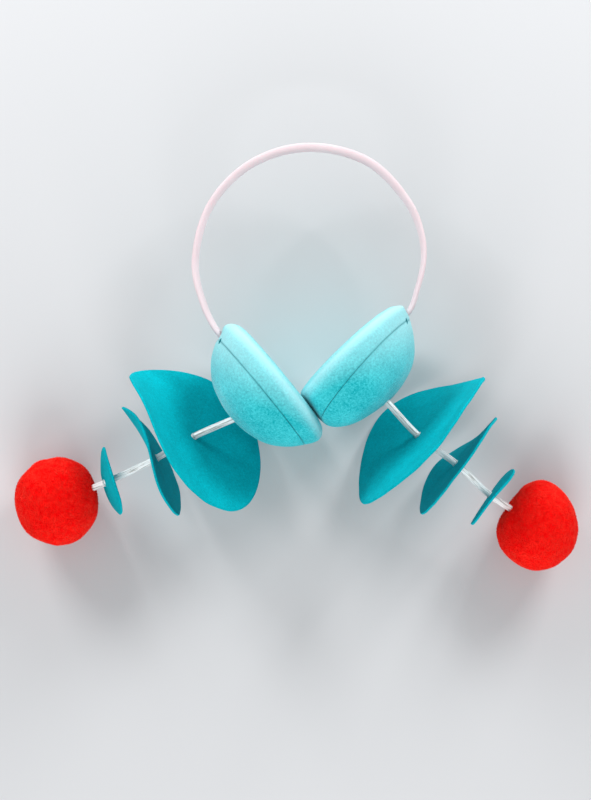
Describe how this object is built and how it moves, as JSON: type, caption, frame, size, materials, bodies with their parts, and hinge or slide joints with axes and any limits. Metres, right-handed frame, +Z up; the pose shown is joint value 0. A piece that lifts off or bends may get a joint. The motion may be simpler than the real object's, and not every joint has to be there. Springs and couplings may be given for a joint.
{
  "type": "head bopper",
  "caption": "Hoop headband with two felt cups, each carrying a clear rod with three curled felt discs and a red pompom.",
  "frame": {"origin": "on the table under the middle of the whole object's box, as it lies", "axes": "+X across the head from the left cup's side to the right one's, +Y from the cups towards the top of the hoop, +Z up from the table that it lies on"},
  "size_m": [0.3268, 0.2464, 0.0956],
  "materials": {
    "hoop_plastic": "milky pink-white, satin",
    "cup_felt": "aqua felt, matte",
    "disc_felt": "teal felt, matte",
    "clear_plastic": "clear tube",
    "anchor_foam": "white foam plug, hidden",
    "pompom_pile": "short dense red pile"
  },
  "bodies": {
    "root": {"headband": "hoop_plastic", "cup_back_left": "cup_felt", "cup_dome_left": "cup_felt", "anchor_left": "anchor_foam", "rod_left": "clear_plastic", "disc_large_left": "disc_felt", "disc_medium_left": "disc_felt", "disc_small_left": "disc_felt", "pompom_left": "pompom_pile", "cup_back_right": "cup_felt", "cup_dome_right": "cup_felt", "anchor_right": "anchor_foam", "rod_right": "clear_plastic", "disc_large_right": "disc_felt", "disc_medium_right": "disc_felt", "disc_small_right": "disc_felt", "pompom_right": "pompom_pile"}
  },
  "joints": []
}
